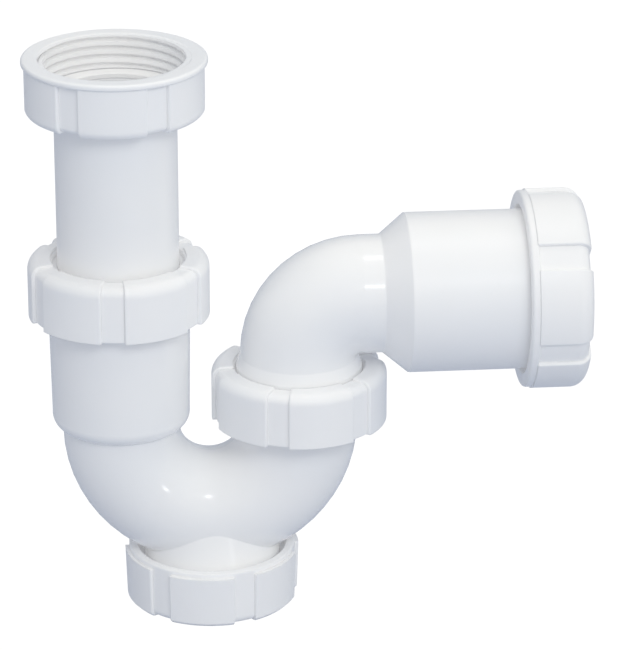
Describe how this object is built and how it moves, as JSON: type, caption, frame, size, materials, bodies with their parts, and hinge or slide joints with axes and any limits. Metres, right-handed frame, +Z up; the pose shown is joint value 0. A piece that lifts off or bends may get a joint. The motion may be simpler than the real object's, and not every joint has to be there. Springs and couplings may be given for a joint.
{
  "type": "p trap",
  "caption": "Plastic P trap: nut-ended telescopic inlet tube, U bend with a clean-out cap below, and a swivel elbow with a compression socket for the waste pipe.",
  "frame": {"origin": "centre of the inlet washer's top face, where the tail of the sink or basin waste seats inside the inlet nut", "axes": "+Z up along the inlet tube's axis; +X from the inlet leg towards the outlet leg and along the outlet socket's axis at rest; +Y to the left of someone looking along +X"},
  "size_m": [0.1784, 0.0644, 0.1856],
  "materials": {
    "moulded_body": "glossy white polypropylene moulding",
    "moulded_nuts": "satin to glossy white polypropylene moulding",
    "tube_plastic": "smooth white polypropylene tube",
    "slip_rings": "smooth hard white plastic",
    "white_washer": "soft matt white polyethylene",
    "soft_seals": "matt grey elastomer"
  },
  "bodies": {
    "trap_body": {"trap_body": "moulded_body", "telescopic_seal": "soft_seals", "swivel_seal": "soft_seals"},
    "inlet_tail": {"inlet_washer": "white_washer"},
    "inlet_tube": {"inlet_tube": "tube_plastic"},
    "inlet_nut": {"inlet_nut": "moulded_nuts"},
    "telescopic_ring": {"telescopic_slip_ring": "slip_rings"},
    "telescopic_nut": {"telescopic_nut": "moulded_nuts"},
    "swivel_ring": {"swivel_slip_ring": "slip_rings"},
    "swivel_nut": {"swivel_nut": "moulded_nuts"},
    "outlet_elbow": {"outlet_elbow": "moulded_body", "outlet_seal": "soft_seals"},
    "outlet_ring": {"outlet_slip_ring": "slip_rings"},
    "outlet_nut": {"outlet_nut": "moulded_nuts"},
    "cleanout_gasket": {"cleanout_washer": "white_washer"},
    "cleanout_cap": {"cleanout_cap": "moulded_nuts"}
  },
  "joints": [
    {"name": "telescopic_slide", "type": "slide", "parent": "trap_body", "child": "inlet_tail", "axis": [0, 0, 1], "range_m": [-0.02, 0.02]},
    {"name": "inlet_tube_turn", "type": "hinge", "parent": "inlet_tail", "child": "inlet_tube", "pos_m": [0, 0, 0], "axis": [0, 0, 1], "continuous": true},
    {"name": "inlet_nut_turn", "type": "hinge", "parent": "inlet_tail", "child": "inlet_nut", "pos_m": [0, 0, 0], "axis": [0, 0, 1], "continuous": true},
    {"name": "telescopic_ring_slide", "type": "slide", "parent": "trap_body", "child": "telescopic_ring", "axis": [0, 0, 1], "range_m": [0, 0.007]},
    {"name": "telescopic_nut_turn", "type": "hinge", "parent": "telescopic_ring", "child": "telescopic_nut", "pos_m": [0, 0, -0.065], "axis": [0, 0, 1], "range_deg": [0, 901]},
    {"name": "swivel_ring_slide", "type": "slide", "parent": "trap_body", "child": "swivel_ring", "axis": [0, 0, 1], "range_m": [0, 0.007]},
    {"name": "swivel_nut_turn", "type": "hinge", "parent": "swivel_ring", "child": "swivel_nut", "pos_m": [0.0577, 0, -0.103], "axis": [0, 0, 1], "range_deg": [0, 901]},
    {"name": "outlet_swivel", "type": "hinge", "parent": "swivel_ring", "child": "outlet_elbow", "pos_m": [0.0577, 0, -0.1], "axis": [0, 0, 1], "range_deg": [-110, 110]},
    {"name": "outlet_ring_slide", "type": "slide", "parent": "outlet_elbow", "child": "outlet_ring", "axis": [1, 0, 0], "range_m": [0, 0.007]},
    {"name": "outlet_nut_turn", "type": "hinge", "parent": "outlet_ring", "child": "outlet_nut", "pos_m": [0.139, 0, -0.071], "axis": [1, 0, 0], "range_deg": [0, 901]},
    {"name": "cleanout_washer_slide", "type": "slide", "parent": "trap_body", "child": "cleanout_gasket", "axis": [0, 0, -1], "range_m": [0, 0.007]},
    {"name": "cleanout_cap_turn", "type": "hinge", "parent": "cleanout_gasket", "child": "cleanout_cap", "pos_m": [0.02885, 0, -0.165], "axis": [0, 0, -1], "range_deg": [0, 901]}
  ],
  "couplings": [
    {"joint": "telescopic_nut_turn", "follows": "telescopic_ring_slide", "rad_per_m": 2244},
    {"joint": "swivel_nut_turn", "follows": "swivel_ring_slide", "rad_per_m": 2244},
    {"joint": "outlet_nut_turn", "follows": "outlet_ring_slide", "rad_per_m": 2244},
    {"joint": "cleanout_cap_turn", "follows": "cleanout_washer_slide", "rad_per_m": 2244}
  ]
}
